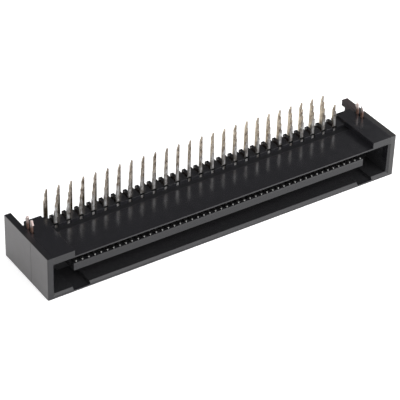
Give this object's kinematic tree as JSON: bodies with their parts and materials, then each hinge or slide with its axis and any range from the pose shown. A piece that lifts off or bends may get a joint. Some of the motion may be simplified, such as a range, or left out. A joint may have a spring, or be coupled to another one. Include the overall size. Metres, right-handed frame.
{
  "type": "shrouded pcb header",
  "caption": "Right-angle shrouded header for a circuit board: open moulded shroud, contact tongue, staggered solder tails and two forked board locks.",
  "frame": {"origin": "middle of the face that the header rests on, under the middle of its length and depth", "axes": "+X along the header, -Y out of the mating opening, +Z along the solder tails, away from the resting face"},
  "size_m": [0.0758, 0.0154, 0.0119],
  "materials": {
    "housing_plastic": "fine satin, as moulded",
    "contact_metal": "tin plated copper alloy, bright",
    "lock_bronze": "bare bronze, bright"
  },
  "bodies": {
    "root": {"housing": "housing_plastic", "board_lock_left": "lock_bronze", "board_lock_right": "lock_bronze", "contact_pair_01": "contact_metal", "contact_pair_02": "contact_metal", "contact_pair_03": "contact_metal", "contact_pair_04": "contact_metal", "contact_pair_05": "contact_metal", "contact_pair_06": "contact_metal", "contact_pair_07": "contact_metal", "contact_pair_08": "contact_metal", "contact_pair_09": "contact_metal", "contact_pair_10": "contact_metal", "contact_pair_11": "contact_metal", "contact_pair_12": "contact_metal", "contact_pair_13": "contact_metal", "contact_pair_14": "contact_metal", "contact_pair_15": "contact_metal", "contact_pair_16": "contact_metal", "contact_pair_17": "contact_metal", "contact_pair_18": "contact_metal", "contact_pair_19": "contact_metal", "contact_pair_20": "contact_metal", "contact_pair_21": "contact_metal", "contact_pair_22": "contact_metal", "contact_pair_23": "contact_metal", "contact_pair_24": "contact_metal", "contact_pair_25": "contact_metal", "contact_pair_26": "contact_metal", "contact_pair_27": "contact_metal", "contact_pair_28": "contact_metal", "contact_pair_29": "contact_metal", "contact_pair_30": "contact_metal", "contact_pair_31": "contact_metal", "contact_pair_32": "contact_metal", "contact_pair_33": "contact_metal", "contact_pair_34": "contact_metal", "contact_pair_35": "contact_metal", "contact_pair_36": "contact_metal", "contact_pair_37": "contact_metal", "contact_pair_38": "contact_metal", "contact_pair_39": "contact_metal", "contact_pair_40": "contact_metal", "contact_pair_41": "contact_metal", "contact_pair_42": "contact_metal", "contact_pair_43": "contact_metal", "contact_pair_44": "contact_metal", "contact_pair_45": "contact_metal", "contact_pair_46": "contact_metal", "contact_pair_47": "contact_metal", "contact_pair_48": "contact_metal", "contact_pair_49": "contact_metal", "contact_pair_50": "contact_metal"}
  },
  "joints": []
}
